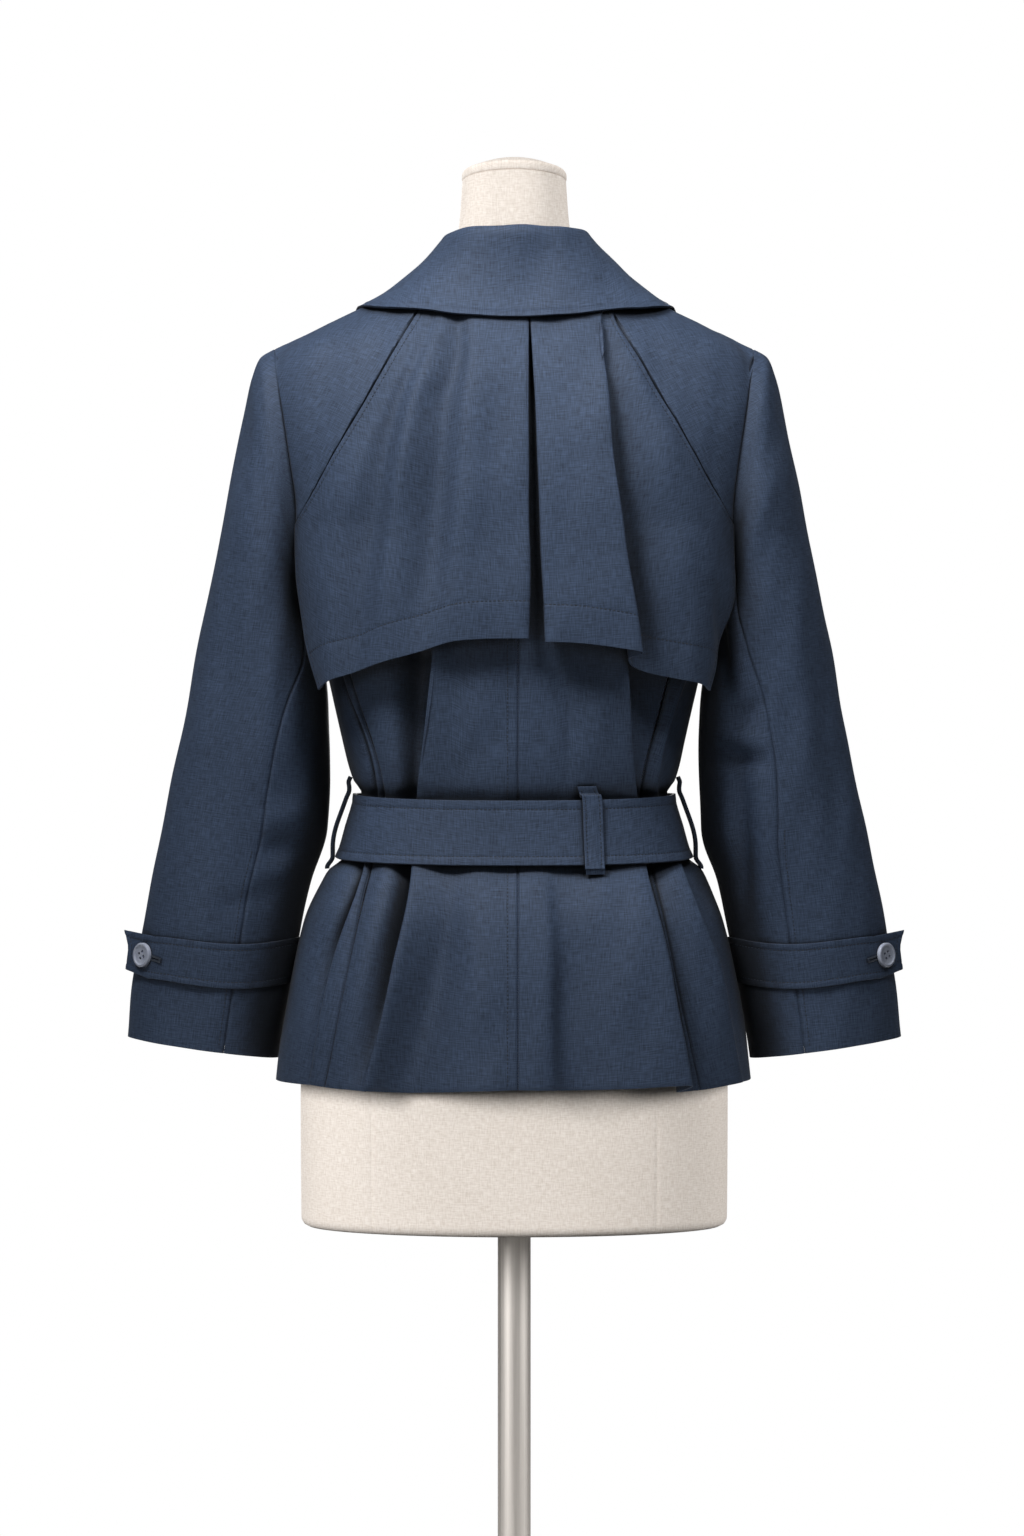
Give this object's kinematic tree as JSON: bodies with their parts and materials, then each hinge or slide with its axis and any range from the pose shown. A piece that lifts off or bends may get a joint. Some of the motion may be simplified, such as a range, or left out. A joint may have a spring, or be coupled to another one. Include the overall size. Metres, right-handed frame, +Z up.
{
  "type": "cropped trench coat on a dress form",
  "caption": "Cropped belted trench coat with a split back cape, turned-down collar and buttoned cuff straps, worn by a limbless linen dress form on a pole stand with a round base.",
  "frame": {"origin": "on the floor, under the pole's axis, at the middle of the base plate's underside", "axes": "+Z up along the pole, +Y out of the coat's back, +X towards the wearer's left"},
  "size_m": [0.646, 0.34, 1.591],
  "materials": {
    "coat_cloth": "fine matte navy twill",
    "buttons": "navy four-hole buttons with a soft shine",
    "buckle": "satin navy",
    "form_linen": "plain beige linen",
    "stand_steel": "satin steel"
  },
  "bodies": {
    "root": {"back_left": "coat_cloth", "back_right": "coat_cloth", "side_back_left": "coat_cloth", "side_back_right": "coat_cloth", "shoulder_left": "coat_cloth", "shoulder_right": "coat_cloth", "front_left": "coat_cloth", "front_right": "coat_cloth", "cape_left": "coat_cloth", "cape_right": "coat_cloth", "upper_sleeve_left": "coat_cloth", "upper_sleeve_right": "coat_cloth", "under_sleeve_left": "coat_cloth", "under_sleeve_right": "coat_cloth", "cuff_strap_left": "coat_cloth", "cuff_strap_right": "coat_cloth", "collar": "coat_cloth", "belt": "coat_cloth", "belt_end": "coat_cloth", "belt_loop_back": "coat_cloth", "belt_loop_left": "coat_cloth", "belt_loop_right": "coat_cloth", "buckle": "buckle", "cuff_button_left": "buttons", "cuff_button_right": "buttons", "front_button_1": "buttons", "front_button_2": "buttons", "front_button_3": "buttons", "front_button_4": "buttons", "front_button_5": "buttons", "form_torso": "form_linen", "neck_cap": "form_linen", "pole": "stand_steel", "base_plate": "stand_steel"}
  },
  "joints": []
}
